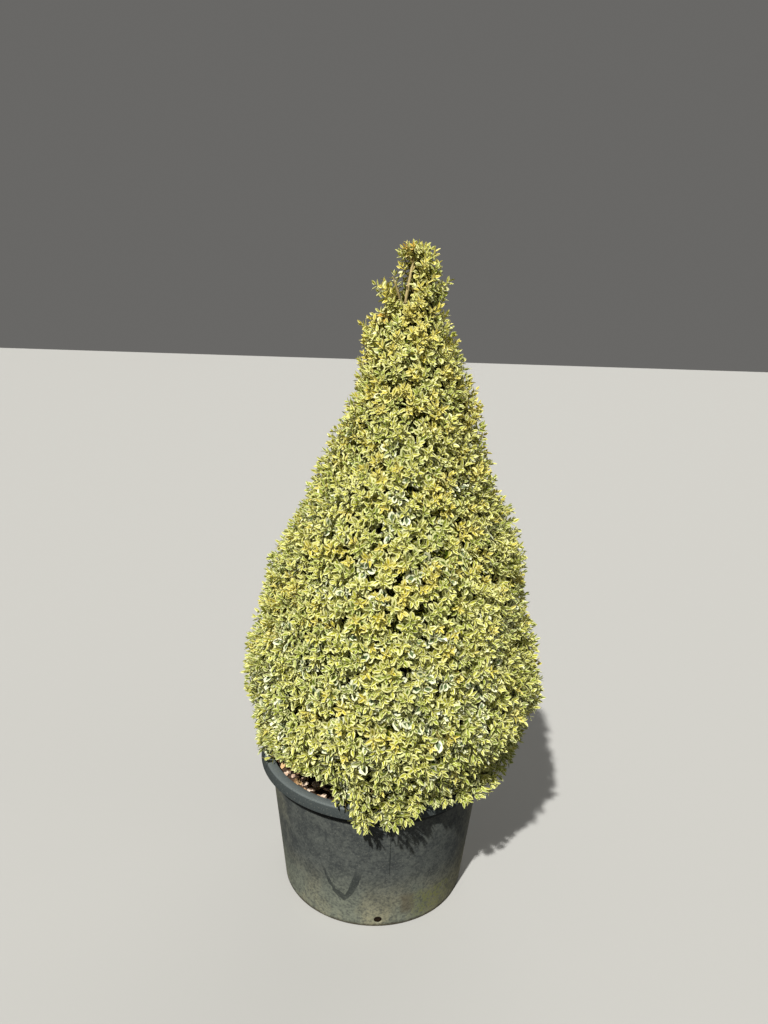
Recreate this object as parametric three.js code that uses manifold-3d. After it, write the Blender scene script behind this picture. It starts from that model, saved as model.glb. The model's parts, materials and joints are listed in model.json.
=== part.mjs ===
// A boxwood cone topiary: a clipped, leaning box cone with small cream-edged leaves, growing from
// its root ball in a round black nursery container. Millimetres, +Z up. The origin is the middle of
// the container's underside, and the front of the plant faces -Y.
import * as THREE from 'three';
import { mergeVertices } from 'three/addons/utils/BufferGeometryUtils.js';
import Module from 'manifold-3d';

const wasm = await Module();
wasm.setup();

// Driving dimensions, in millimetres. Azimuths are in degrees from +X towards +Y.
const GAP = 0.3; // left between pieces that touch

// The container, a thin-walled 35 litre pot with a turned-over rim.
const POT_HEIGHT = 300;
const POT_BASE_RADIUS = 189;
const POT_NECK_RADIUS = 219; // outside of the wall, just under the rim
const POT_WALL = 2.5;
const POT_SIDES = 48;
const RIM_RADIUS = 239;
const RIM_DROP = 21; // height of the turned-down band
const RIM_SLOPE = 5; // how far the band's top edge stands in from its lower edge
const RIM_DISH = 2; // how far the rim's inner edge lies below its outer edge
const DRAIN_HOLES = 4;
const DRAIN_RADIUS = 8;
const DRAIN_HEIGHT = 17;
const DRAIN_AZIMUTH = -86; // of the hole at the front

// The root ball, filled to a line a little below the rim.
const SOIL_LEVEL = 280;
const SOIL_RELIEF = 3; // unevenness away from the trunk's foot
const SOIL_RINGS = [1, 0.85, 0.7, 0.5, 0.3, 0]; // from the wall in to the flat round the foot

// The trunk, from a flat cut at the soil to the bare tip of the leader.
const TRUNK_FOOT = new THREE.Vector3(14, 4, SOIL_LEVEL + GAP);
const TRUNK_BEND = new THREE.Vector3(26, -10, 1196);
const TRUNK_TIP = new THREE.Vector3(38, -12, 1272);
const TRUNK_RADIUS = 15;
const TRUNK_SIDES = 10;
const LEADER_RADIUS = 3;
const FLARE_REACH = 15; // how much wider the foot is than the trunk above it
const FLARE_HEIGHT = 26; // the height in which the flare falls to about a third
const FLARE_ROOTS = 5;
const FLARE_SWELL = 0.35; // of the flare, at each root

// Stubs of pruned shoots on the bare leader.
const STUBS = [
  { height: 1262, azimuth: 200, length: 15 },
  { height: 1248, azimuth: 20, length: 12 },
  { height: 1216, azimuth: 250, length: 10 },
];
const STUB_RADIUS = 2.2;
const STUB_RISE = 1.3; // mm up for each mm out

// The crown: how far it reaches from its own axis at each height, and how that axis leans to +X.
const CROWN_REACH = [
  [262, 250], [300, 262], [380, 285], [460, 303], [540, 287], [700, 253], [780, 224], [860, 181],
  [1000, 134], [1120, 98], [1155, 90], [1188, 68], [1225, 64], [1252, 46], [1285, 40], [1306, 16],
];
const CROWN_TOP = 1306;
const CROWN_SHIFT = 22; // of the axis at the rim's height
const CROWN_LEAN = 0.023; // mm to +X for each mm above the rim
const LUMPS = 6; // how far the clipped surface swells and dips

// Lobes that stand out: three high on the cone, and the fringe that hangs over the rim in front.
const LOBES = [
  { azimuth: 185, width: 40, height: 1232, depth: 17, reach: 27 },
  { azimuth: 180, width: 40, height: 1158, depth: 26, reach: 12 },
  { azimuth: 0, width: 25, height: 1006, depth: 34, reach: 14 },
  { azimuth: -98, width: 30, height: 285, depth: 45, reach: 16 },
];

// The skirt's lower edge: low in front over the rim, and high to the left, where the soil shows.
const HEM_LEVEL = 318;
const HEM_WAVES = [
  { azimuth: -138, width: 22, rise: 28 },
  { azimuth: -122, width: 10, rise: 18 },
  { azimuth: -104, width: 15, rise: -58 },
  { azimuth: -86, width: 12, rise: -28 },
  { azimuth: -47, width: 15, rise: -16 },
  { azimuth: 75, width: 60, rise: -14 },
];

// The crown's masses: each runs up to the height given, measured at the crown's surface.
const MASSES = [
  { name: 'crown_skirt', top: 560, color: 0x9aa35c },
  { name: 'crown_middle', top: 820, color: 0xa3a963 },
  { name: 'crown_upper', top: 1060, color: 0xabb068 },
  { name: 'crown_top', top: 1196, color: 0xb4b56a },
  { name: 'leader_sprays', top: CROWN_TOP, color: 0xbfbb6c },
];
const CORE_INSET = 28; // how deep the dense inside lies under the clipped surface
const CORE_SIDES = 24;
const CORE_ROWS = 5;
const CORE_ROUGHNESS = 5; // of the dense inside, which is all leaves too
const CORE_HOLLOW = 40; // how much higher the skirt's underside is at the trunk than at the edge
const CORE_CLEARANCE = 5; // between the trunk and the dense inside
const LEAF_SLOPE = 0.8; // of the surface between two masses among the leaves
const CORE_SLOPE = 0.2; // and in the dense inside
const CLEARANCE = 4; // kept by leaves to the container and the trunk
const MARGIN = 2.5; // kept by each mass to the surface where the next one begins
const STRAY = 3; // how far a leaf may stand out of the clipped surface

// Twigs: how steeply they rise, in mm up for each mm out, by the height of their tips.
const TWIG_RISE = [[262, -1.1], [330, -0.5], [460, 0.2], [800, 0.5], [1220, 0.6], [1306, 2.5]];
const TWIG_START = 270; // height of the first
const TWIG_AREA = 6900; // crown surface for each twig, in square mm
const FULL_REACH = 190; // where the crown reaches less, twigs stand closer
const TWIG_RADIUS = 2.2;
const TWIG_LENGTH = 78;
const GOLDEN_TURN = Math.PI * (3 - Math.sqrt(5)); // in radians, from each twig to the next

// The stem of each mass, and the forked one behind the leader that carries the open sprays at the
// top: the foot and the tip of each of its two shoots.
const STEM_RADIUS = 4;
const STEM_LENGTH = 38;
const STEM_RISE = 0.8;
const SHOOTS = [
  [new THREE.Vector3(36, -2, 1177), new THREE.Vector3(45, 4, 1252)],
  [new THREE.Vector3(20, 8, 1186), new THREE.Vector3(-4, -4, 1240)],
];

// A leaf, larger than life: each stands for the spray at one twig's end.
const LEAF_LENGTH = 64;
const LEAF_WIDTH = 40;
const LEAF_THICKNESS = 3;
const LEAF_BROADEST = 0.56; // of the way from root to tip
const LEAF_LIFT = [[262, -1.2], [340, -0.8], [430, 0.3], [1220, 0.5], [1306, 1.2]]; // over the twig
const LEAF_SPREAD = 1.1; // how far the side leaves turn from the twig
const LEAF_SUNK = 6; // how far its root is sunk into the twig
const PAIR_SPACING = 9; // between the leaves along a twig
const FINENESS = 0.4; // the smallest edge worth keeping where leaves cross

// The slanting gap in the upper crown, as a line from end to end and the clear space round it.
const PIT = new THREE.Line3(new THREE.Vector3(-36, -125, 1030), new THREE.Vector3(14, -131, 984));
const PIT_RADIUS = 11;

const UP = new THREE.Vector3(0, 0, 1);
const { clamp, degToRad, euclideanModulo, lerp, radToDeg } = THREE.MathUtils;

// Straight-line interpolation in a list of [height, value] pairs.
function valueAt(list, height) {
  const i = list.findIndex(([high]) => height <= high);
  if (i === 0) return list[0][1];
  if (i < 0) return list[list.length - 1][1];
  const [[low, from], [high, to]] = [list[i - 1], list[i]];
  return from + ((to - from) * (height - low)) / (high - low);
}

// A repeatable sequence of numbers between 0 and 1.
function seeded(seed) {
  let state = seed;
  return () => {
    state = (state * 16807) % 2147483647;
    return state / 2147483647;
  };
}

// The level direction at an azimuth in radians.
const outwardAt = (azimuth) => new THREE.Vector3(Math.cos(azimuth), Math.sin(azimuth), 0);

// A closed geometry as a solid that can be joined and cut.
function toSolid(geometry) {
  const bare = geometry.clone();
  bare.deleteAttribute('normal');
  bare.deleteAttribute('uv');
  const merged = mergeVertices(bare, 1e-4);
  const index = merged.index.array;
  const triangles = [];
  for (let i = 0; i < index.length; i += 3) {
    const [a, b, c] = [index[i], index[i + 1], index[i + 2]];
    if (a !== b && b !== c && c !== a) triangles.push(a, b, c);
  }
  return new wasm.Manifold(new wasm.Mesh({
    numProp: 3,
    vertProperties: Float32Array.from(merged.attributes.position.array),
    triVerts: Uint32Array.from(triangles),
  }));
}

// The largest connected piece of a solid, with no loose scrap and no sealed hollow.
function largestPiece(solid) {
  return solid.decompose().reduce((best, part) => (part.volume() > best.volume() ? part : best));
}

function toGeometry(solid) {
  const { numProp, vertProperties, triVerts } = solid.getMesh();
  const position = new Float32Array((vertProperties.length / numProp) * 3);
  for (let i = 0; i < position.length / 3; i += 1) {
    position.set(vertProperties.subarray(i * numProp, i * numProp + 3), i * 3);
  }
  const geometry = new THREE.BufferGeometry();
  geometry.setAttribute('position', new THREE.BufferAttribute(position, 3));
  geometry.setIndex(new THREE.BufferAttribute(Uint32Array.from(triVerts), 1));
  geometry.computeVertexNormals();
  return geometry;
}

// A turned shape about +Z, whose points are then moved by place(radius, height, azimuth).
function turned(profile, sides, place = null) {
  const geometry = new THREE.LatheGeometry(profile.map(([r, z]) => new THREE.Vector2(r, z)), sides);
  geometry.rotateX(Math.PI / 2);
  if (!place) return geometry;
  const points = geometry.attributes.position;
  for (let i = 0; i < points.count; i += 1) {
    const [x, y, z] = [points.getX(i), points.getY(i), points.getZ(i)];
    const moved = place(Math.hypot(x, y), z, Math.atan2(y, x));
    points.setXYZ(i, moved.x, moved.y, moved.z);
  }
  return geometry;
}

// Turns a geometry's +Y to a direction and puts its middle at a point.
function aim(geometry, direction, middle) {
  const turn = new THREE.Quaternion().setFromUnitVectors(new THREE.Vector3(0, 1, 0), direction);
  return geometry.applyQuaternion(turn).translate(middle.x, middle.y, middle.z);
}

// A straight tapering stick between two points.
function stick(from, to, fromRadius, toRadius, sides) {
  const run = to.clone().sub(from);
  const shape = new THREE.CylinderGeometry(toRadius, fromRadius, run.length(), sides);
  return toSolid(aim(shape, run.clone().normalize(), from.clone().lerp(to, 0.5)));
}

// The container: floor, sloping wall, a rim turned out and down, and drain holes low in the wall.
function makePot() {
  const shoulder = POT_HEIGHT - RIM_DROP;
  const inside = POT_NECK_RADIUS - POT_WALL;
  const profile = [
    [0, 0],
    [POT_BASE_RADIUS, 0],
    [POT_NECK_RADIUS, shoulder],
    [POT_NECK_RADIUS, POT_HEIGHT - POT_WALL - RIM_DISH],
    [RIM_RADIUS - RIM_SLOPE - POT_WALL, POT_HEIGHT - POT_WALL],
    [RIM_RADIUS - POT_WALL, shoulder],
    [RIM_RADIUS, shoulder],
    [RIM_RADIUS - RIM_SLOPE, POT_HEIGHT],
    [inside, POT_HEIGHT - RIM_DISH],
    [inside, shoulder],
    [POT_BASE_RADIUS - POT_WALL, POT_WALL],
    [0, POT_WALL],
  ];
  let pot = toSolid(turned(profile, POT_SIDES));
  for (let i = 0; i < DRAIN_HOLES; i += 1) {
    const outward = outwardAt(degToRad(DRAIN_AZIMUTH) + (i * 2 * Math.PI) / DRAIN_HOLES);
    const middle = outward.clone().multiplyScalar(POT_BASE_RADIUS).setZ(DRAIN_HEIGHT);
    const drill = new THREE.CylinderGeometry(DRAIN_RADIUS, DRAIN_RADIUS, POT_WALL * 8, 8);
    pot = pot.subtract(toSolid(aim(drill, outward, middle)));
  }
  return toGeometry(pot);
}

// The root ball, a close fit in the container, and flat under the trunk's foot.
function makeSoil() {
  const neck = POT_NECK_RADIUS - POT_WALL - GAP * 2;
  const base = POT_BASE_RADIUS - POT_WALL - GAP * 2;
  const flat = TRUNK_FOOT.x + TRUNK_RADIUS + FLARE_REACH * (1 + FLARE_SWELL);
  const rings = SOIL_RINGS.map((share) => [lerp(flat, neck, share), SOIL_LEVEL]);
  const floor = POT_WALL + GAP;
  const profile = [[0, floor], [base, floor], [neck, POT_HEIGHT - RIM_DROP], ...rings, [0, SOIL_LEVEL]];
  return turned(profile, 32, (radius, height, azimuth) => {
    const swell = Math.sin(3 * azimuth + radius / 23) + Math.sin(7 * azimuth - radius / 31);
    const uneven = height === SOIL_LEVEL && radius > flat + 1 && radius < neck - 1;
    return outwardAt(azimuth).multiplyScalar(radius)
      .setZ(height + (uneven ? (SOIL_RELIEF * swell) / 2 : 0));
  });
}

// The middle of the trunk at a height: nearly straight to the bend, then leaning on to the tip.
function trunkMiddle(height) {
  const [low, high] = height < TRUNK_BEND.z ? [TRUNK_FOOT, TRUNK_BEND] : [TRUNK_BEND, TRUNK_TIP];
  return low.clone().lerp(high, (height - low.z) / (high.z - low.z)).setZ(height);
}

function trunkRadius(height) {
  const share = (height - TRUNK_FOOT.z) / (TRUNK_TIP.z - TRUNK_FOOT.z);
  return lerp(TRUNK_RADIUS, LEADER_RADIUS, share);
}

// The trunk without its stubs, or the space that is left for it at a distance from its bark.
function trunkShape(distance) {
  const [flareSteps, steps] = [5, 22];
  const foot = TRUNK_FOOT.z - distance;
  const tip = TRUNK_TIP.z + distance;
  const flareTop = foot + FLARE_HEIGHT * 2.5;
  const profile = [[0, foot]];
  for (let i = 0; i < flareSteps; i += 1) profile.push([1, lerp(foot, flareTop, i / flareSteps)]);
  for (let i = flareSteps; i <= steps; i += 1) {
    profile.push([1, lerp(flareTop, tip, (i - flareSteps) / (steps - flareSteps))]);
  }
  profile.push([0, tip]);
  return turned(profile, TRUNK_SIDES, (share, height, azimuth) => {
    const level = clamp(height, TRUNK_FOOT.z, TRUNK_TIP.z);
    const flare = FLARE_REACH * Math.exp((TRUNK_FOOT.z - level) / FLARE_HEIGHT);
    const roots = 1 + FLARE_SWELL * Math.cos(FLARE_ROOTS * azimuth);
    const radius = trunkRadius(level) + flare * roots + distance;
    return trunkMiddle(level).addScaledVector(outwardAt(azimuth), share * radius).setZ(height);
  });
}

// The trunk with the stubs of pruned shoots on its leader, or the space left round them.
function trunkSolid(distance = 0) {
  return STUBS.reduce((trunk, { height, azimuth, length }) => {
    const root = trunkMiddle(height);
    const run = outwardAt(degToRad(azimuth)).setZ(STUB_RISE).setLength(length + distance);
    const radius = STUB_RADIUS + distance;
    return trunk.add(stick(root, root.clone().add(run), radius, radius - STUB_RADIUS * 0.3, 6));
  }, toSolid(trunkShape(distance)));
}

// How near an azimuth is to the middle of a lobe or wave: 1 there, and about a third at its width.
function nearness(azimuth, { azimuth: middle, width }) {
  const away = euclideanModulo(radToDeg(azimuth) - middle + 180, 360) - 180;
  return Math.exp(-((away / width) ** 2));
}

const crownAxis = (height) => CROWN_SHIFT + CROWN_LEAN * (height - POT_HEIGHT);

// The crown's reach from its axis, with its lobes and the swellings that clipping leaves.
function crownReach(azimuth, height) {
  const reach = valueAt(CROWN_REACH, height);
  const swell = Math.sin(3 * azimuth + height / 55) + 0.7 * Math.sin(5 * azimuth - height / 34)
    + 0.5 * Math.sin(8 * azimuth + height / 21);
  return LOBES.reduce((total, lobe) => {
    const level = Math.exp(-(((height - lobe.height) / lobe.depth) ** 2));
    return total + lobe.reach * level * nearness(azimuth, lobe);
  }, reach + LUMPS * swell * Math.min(reach / 150, 1));
}

// The lowest height that foliage reaches at an azimuth.
const hem = (azimuth) => HEM_WAVES.reduce(
  (level, wave) => level + wave.rise * nearness(azimuth, wave), HEM_LEVEL,
);

// The height of the surface between two masses in the dense inside, at a distance from its axis.
function innerBoundary(top, distance) {
  const depth = valueAt(CROWN_REACH, top) - distance;
  return top - LEAF_SLOPE * CORE_INSET - CORE_SLOPE * (depth - CORE_INSET);
}

// The same surface further out too, where it rises as steeply as the leaves do.
function boundary(top, distance) {
  const depth = valueAt(CROWN_REACH, top) - distance;
  return depth < CORE_INSET ? top - LEAF_SLOPE * depth : innerBoundary(top, distance);
}

// Where a point lies about the crown's axis.
function about(point) {
  const across = point.x - crownAxis(point.z);
  return { distance: Math.hypot(across, point.y), azimuth: Math.atan2(point.y, across) };
}

// True if a point lies in a mass's own space, clear of the trunk, the container and the gap.
function inSpace(point, bottom, top) {
  const { distance, azimuth } = about(point);
  const outside = distance > crownReach(azimuth, point.z) + STRAY || point.z > CROWN_TOP
    || point.z < hem(azimuth) - STRAY;
  const below = bottom && point.z < boundary(bottom, distance) + MARGIN;
  const above = top < CROWN_TOP && point.z > boundary(top, distance) - MARGIN;
  const inPot = point.z < POT_HEIGHT + CLEARANCE
    && Math.hypot(point.x, point.y) < RIM_RADIUS + CLEARANCE;
  const level = Math.min(point.z, TRUNK_TIP.z);
  const onTrunk = trunkMiddle(level).distanceTo(point) < trunkRadius(level) + CLEARANCE;
  const fromPit = PIT.closestPointToPoint(point, true, new THREE.Vector3()).distanceTo(point);
  return !(outside || below || above || inPot || onTrunk || fromPit < PIT_RADIUS);
}

// The dense inside of a mass, between its lower and upper surfaces.
function coreShape(bottom, top) {
  const profile = [[0, 0]];
  for (let i = 0; i <= CORE_ROWS; i += 1) profile.push([1, i / CORE_ROWS]);
  profile.push([0, 1]);
  return turned(profile, CORE_SIDES, (share, row, azimuth) => {
    const edge = Math.max(hem(azimuth) + CORE_INSET, POT_HEIGHT + CLEARANCE);
    const wall = crownReach(azimuth, lerp(bottom || edge, top, row)) - CORE_INSET;
    const distance = share * (wall + CORE_ROUGHNESS * Math.sin(13 * azimuth + 9 * row));
    const low = bottom ? boundary(bottom, distance) : edge + (1 - share) * CORE_HOLLOW;
    const height = lerp(low + MARGIN, innerBoundary(top, distance) - MARGIN, row);
    const place = outwardAt(azimuth).multiplyScalar(distance).setZ(height);
    place.x += crownAxis(height);
    return place;
  });
}

// A leaf from its root to its tip, broadest past the middle: a flat octahedron of eight faces.
function leafShape(root, tip, facing) {
  const run = tip.clone().sub(root);
  const side = new THREE.Vector3().crossVectors(run, facing).normalize();
  const normal = new THREE.Vector3().crossVectors(run, side).normalize();
  const middle = root.clone().addScaledVector(run, LEAF_BROADEST);
  const width = (LEAF_WIDTH * run.length()) / LEAF_LENGTH;
  const leaf = new THREE.OctahedronGeometry(1);
  const points = leaf.attributes.position;
  for (let i = 0; i < points.count; i += 1) {
    const [x, y, z] = [points.getX(i), points.getY(i), points.getZ(i)];
    const place = middle.clone().addScaledVector(run, x * (x > 0 ? 1 - LEAF_BROADEST : LEAF_BROADEST));
    place.addScaledVector(side, (y * width) / 2).addScaledVector(normal, (z * LEAF_THICKNESS) / 2);
    points.setXYZ(i, place.x, place.y, place.z);
  }
  return leaf;
}

// True if a leaf's tip and its broadest part lie in its mass's space.
function leafFits(root, tip, facing, bottom, top) {
  const run = tip.clone().sub(root);
  const side = new THREE.Vector3().crossVectors(run, facing).setLength(LEAF_WIDTH / 2);
  const middle = root.clone().addScaledVector(run, LEAF_BROADEST);
  const corners = [tip, middle, middle.clone().add(side), middle.clone().sub(side)];
  return corners.every((corner) => inSpace(corner, bottom, top));
}

// Every twig of the crown, in one rising spiral that gives each its share of the surface. Those
// that would start under the hem hang along it.
function* twigs() {
  const random = seeded(7);
  let azimuth = 0;
  for (let height = TWIG_START; height < CROWN_TOP - STRAY * 2;) {
    const reach = Math.max(valueAt(CROWN_REACH, height), 30);
    const crowding = Math.min(reach / FULL_REACH, 1);
    height += (TWIG_AREA * crowding) / (2 * Math.PI * reach);
    azimuth += GOLDEN_TURN;
    const turn = azimuth + (random() - 0.5) * 0.3;
    const level = Math.max(height + (random() - 0.5) * 14, hem(turn));
    const rise = valueAt(TWIG_RISE, level) + (random() - 0.5) * 0.5;
    const sway = (random() - 0.5) * 0.5;
    const size = (0.88 + 0.24 * random()) * lerp(0.7, 1, crowding);
    const outward = outwardAt(turn);
    const tangent = new THREE.Vector3(-outward.y, outward.x, 0);
    const direction = outward.clone().addScaledVector(tangent, sway).setZ(rise).normalize();
    const tip = outward.clone().multiplyScalar(crownReach(turn, level)).setZ(level);
    tip.x += crownAxis(level);
    yield { tip, direction, outward, size };
  }
}

// The solids of one twig: the stick, a leaf at its end, and one to each side lower down.
function twigSolids({ tip, direction, outward, size }, root, bottom, top) {
  const length = LEAF_LENGTH * size;
  const lift = valueAt(LEAF_LIFT, tip.z);
  const end = tip.clone().sub(direction.clone().addScaledVector(UP, lift).setLength(length));
  const steps = [0.25, 0.5, 0.75, 1].map((share) => root.clone().lerp(end, share));
  if (!steps.every((point) => inSpace(point, bottom, top))) return [];
  const facing = outward.clone().addScaledVector(UP, 0.3);
  const side = new THREE.Vector3().crossVectors(direction, facing).normalize();
  const leaves = [];
  [0, 1, -1].forEach((turn, i) => {
    const out = direction.clone().addScaledVector(side, turn * LEAF_SPREAD).addScaledVector(UP, lift);
    const from = end.clone().addScaledVector(direction, -PAIR_SPACING * i);
    const to = from.clone().add(out.setLength(length));
    if (!leafFits(from, to, facing, bottom, top)) return;
    const sunk = out.setLength(turn ? TWIG_RADIUS : LEAF_SUNK);
    leaves.push(toSolid(leafShape(from.sub(sunk), to, facing)));
  });
  return leaves.length ? [stick(root, end, TWIG_RADIUS, TWIG_RADIUS * 0.8, 3), ...leaves] : [];
}

// Where a twig leaves: in the dense inside, or in the open top on the nearer of the two shoots.
function twigRoot({ tip, direction }, bottom, top) {
  if (top === CROWN_TOP) {
    const places = SHOOTS.map(([foot, end]) => {
      const height = clamp(tip.z - TWIG_LENGTH, foot.z + CLEARANCE, end.z);
      return foot.clone().lerp(end, (height - foot.z) / (end.z - foot.z));
    });
    return places.reduce((best, place) => (
      place.distanceTo(tip) < best.distanceTo(tip) ? place : best
    ));
  }
  return [1, 0.9, 0.8, 0.7]
    .map((share) => tip.clone().addScaledVector(direction, -TWIG_LENGTH * share))
    .find((point) => inSpace(point, bottom, top));
}

// The stem of a mass, from inside the trunk: a short one into the dense inside, or at the top one
// that forks into the two shoots.
function stemSolid(bottom, top, azimuth) {
  const [thick, thin] = [STEM_RADIUS, STEM_RADIUS * 0.8];
  if (top === CROWN_TOP) {
    const [[foot], [otherFoot]] = SHOOTS;
    const fork = stick(trunkMiddle(foot.z - CLEARANCE), foot, thick, thin, 6)
      .add(stick(foot, otherFoot, thin, thin, 6));
    return SHOOTS.reduce((stem, [from, to]) => stem.add(stick(from, to, thin, TWIG_RADIUS, 6)), fork);
  }
  const from = trunkMiddle(lerp(bottom || HEM_LEVEL + CORE_HOLLOW, top, 0.4));
  const run = outwardAt(azimuth).setZ(STEM_RISE).setLength(STEM_LENGTH);
  return stick(from, from.clone().add(run), thick, thin, 6);
}

// One mass of foliage: its stem from the trunk, its dense inside, and the twigs with their leaves.
function makeMass(bottom, top, stemAzimuth) {
  const open = top === CROWN_TOP; // the sprays about the leader have no dense inside
  let foliage = open ? stemSolid(bottom, top, stemAzimuth) : toSolid(coreShape(bottom, top));
  for (const twig of twigs()) {
    const { distance } = about(twig.tip);
    const below = bottom && twig.tip.z < boundary(bottom, distance);
    const above = !open && twig.tip.z > boundary(top, distance);
    const root = below || above ? null : twigRoot(twig, bottom, top);
    if (root) twigSolids(twig, root, bottom, top).forEach((solid) => { foliage = foliage.add(solid); });
  }
  const clear = foliage.subtract(trunkSolid(CORE_CLEARANCE)).simplify(FINENESS);
  const stem = stemSolid(bottom, top, stemAzimuth).subtract(trunkSolid(GAP * 1.2));
  return toGeometry(largestPiece(clear.add(stem)));
}

// Each sub-part as a named mesh with its finish.
function piece(name, geometry, color, roughness) {
  const material = new THREE.MeshStandardMaterial({ color, roughness, metalness: 0 });
  const mesh = new THREE.Mesh(geometry, material);
  mesh.name = name;
  return mesh;
}

const group = new THREE.Group();
group.add(piece('pot', makePot(), 0x4b504e, 0.55));
group.add(piece('soil', makeSoil(), 0x6b5546, 1));
group.add(piece('trunk', toGeometry(trunkSolid()), 0xa58c68, 0.85));
MASSES.forEach(({ name, top, color }, i) => {
  const bottom = i ? MASSES[i - 1].top : 0;
  group.add(piece(name, makeMass(bottom, top, i * GOLDEN_TURN), color, 0.7));
});

export default group;
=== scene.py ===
"""A boxwood cone topiary in its nursery container, dressed for a studio picture. Metres, +Z up."""

import json
import math

import bmesh
import bpy
import numpy as np
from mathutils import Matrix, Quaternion, Vector, kdtree, noise

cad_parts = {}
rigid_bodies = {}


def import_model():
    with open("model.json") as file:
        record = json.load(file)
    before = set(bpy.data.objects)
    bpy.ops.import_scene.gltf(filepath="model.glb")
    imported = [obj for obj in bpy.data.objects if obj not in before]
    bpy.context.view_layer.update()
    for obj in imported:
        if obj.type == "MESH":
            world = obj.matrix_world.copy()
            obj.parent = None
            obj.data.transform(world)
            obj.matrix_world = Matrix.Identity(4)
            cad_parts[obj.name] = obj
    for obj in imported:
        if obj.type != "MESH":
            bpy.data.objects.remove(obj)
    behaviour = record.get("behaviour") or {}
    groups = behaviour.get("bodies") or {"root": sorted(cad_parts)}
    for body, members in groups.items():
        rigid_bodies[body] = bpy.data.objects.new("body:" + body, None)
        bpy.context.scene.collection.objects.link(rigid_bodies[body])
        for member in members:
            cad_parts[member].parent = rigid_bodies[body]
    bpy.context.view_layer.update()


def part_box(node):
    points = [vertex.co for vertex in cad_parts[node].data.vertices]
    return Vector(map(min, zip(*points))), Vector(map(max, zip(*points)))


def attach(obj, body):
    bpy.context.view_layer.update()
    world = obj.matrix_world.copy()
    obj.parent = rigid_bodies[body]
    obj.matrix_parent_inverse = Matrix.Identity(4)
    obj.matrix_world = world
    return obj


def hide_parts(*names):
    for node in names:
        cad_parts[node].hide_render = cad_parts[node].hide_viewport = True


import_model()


# The container. A thin nursery pot, moulded in black polythene, with a rim turned out and down to
# stiffen it, and drain holes low in the wall. Weather has greyed it, rain has left a dark streak
# on the front, and a green-yellow film has grown on it from the ground up.
POT_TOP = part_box("pot")[1]
POT_HEIGHT = POT_TOP.z
RIM_RADIUS = POT_TOP.x
NECK_RADIUS = 0.219  # outside of the wall, just under the rim
BASE_RADIUS = 0.189
WALL = 0.0025
WALL_ROWS = 26
RIM_DROP = 0.021  # from the rim's top to its lower edge
RIM_SLOPE = 0.005  # how far the rim's outer face leans in
RIM_ROUND = 0.014  # how far in from its outer face the rim's top stays nearly level
RIM_DISH = 0.002  # how far the rim dips at its inner edge
SHOULDER = POT_HEIGHT - RIM_DROP
POT_SEGMENTS = 160
DRAIN_AZIMUTHS = [-86, 4, 94, 184]
DRAIN_RADIUS = 0.0078
DRAIN_HEIGHT = 0.017
DRAIN_SIDES = 20
DRILL_REACH = 0.02  # how far the cutting cylinders stand out at both sides of the wall
EDGE_ROUNDING = 0.0009
EDGE_ANGLE = 28  # in degrees: sharper edges are rounded
SEAM_X = 0.033  # the mould's parting line down the front
STREAK_X, STREAK_LOW = -0.052, 0.066  # the lowest point of the V-shaped stain
GREEN_LEFT, GREEN_RIGHT, GREEN_TOP = 0.085, 0.150, 0.072  # a patch of green film at the foot
SMUDGE_X = 0.070  # a brown smudge beside it


def add_node(tree, kind, settings, values, output=0):
    """An output of a new node, after its settings and its sockets' values or links."""
    node = tree.nodes.new(kind)
    for name, setting in settings.items():
        setattr(node, name, setting)
    for name, value in values.items():
        if isinstance(value, bpy.types.NodeSocket):
            tree.links.new(value, node.inputs[name])
        else:
            node.inputs[name].default_value = value
    return node.outputs[output]


class Wire:
    """A value in a material's node tree. Sums on it add Math nodes, and via() any other node."""

    def __init__(self, tree, socket):
        self.tree = tree
        self.socket = socket

    def via(self, kind, settings, values, output=0):
        values = {name: getattr(value, "socket", value) for name, value in values.items()}
        return Wire(self.tree, add_node(self.tree, kind, settings, values, output))

    def maths(self, operation, *others):
        values = dict(enumerate((self, *others)))
        return self.via("ShaderNodeMath", {"operation": operation}, values)

    def __add__(self, other):
        return self.maths("ADD", other)

    def __sub__(self, other):
        return self.maths("SUBTRACT", other)

    def __rsub__(self, other):
        return self.via("ShaderNodeMath", {"operation": "SUBTRACT"}, {0: other, 1: self})

    def __mul__(self, other):
        return self.maths("MULTIPLY", other)

    def __abs__(self):
        return self.maths("ABSOLUTE")

    def positive(self):
        """This value where it is above 0, and otherwise 0."""
        return self.maths("MAXIMUM", 0.0)

    def axis(self, number):
        """The x, y or z of coordinates."""
        return self.via("ShaderNodeSeparateXYZ", {}, {0: self}, output=number)

    def ramp(self, low, high, start=0.0, end=1.0):
        """Smoothly from start at low to end at high."""
        values = {0: self, 1: low, 2: high, 3: start, 4: end}
        return self.via("ShaderNodeMapRange", {"interpolation_type": "SMOOTHSTEP"}, values)

    def grain(self, scale, detail=3.0, stretch=(1, 1, 1)):
        """Cloudy noise from 0 to 1 on coordinates, finer with scale."""
        place = self.via("ShaderNodeMapping", {}, {0: self, 3: stretch})
        return place.via("ShaderNodeTexNoise", {}, {0: place, 2: scale, 3: detail, 4: 0.6})

    def paint(self, under, over):
        """The colour under where this mask is 0, and over where it is 1."""
        values = {0: self, 6: under, 7: over}
        return self.via("ShaderNodeMix", {"data_type": "RGBA"}, values, output=2)


def start_material(name):
    """A new material, its shader node, and the object coordinates that its patterns read."""
    material = bpy.data.materials.new(name)
    material.use_nodes = True
    tree = material.node_tree
    shader = tree.nodes["Principled BSDF"]
    place = Wire(tree, tree.nodes.new("ShaderNodeTexCoord").outputs["Object"])
    return material, shader, place


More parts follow.
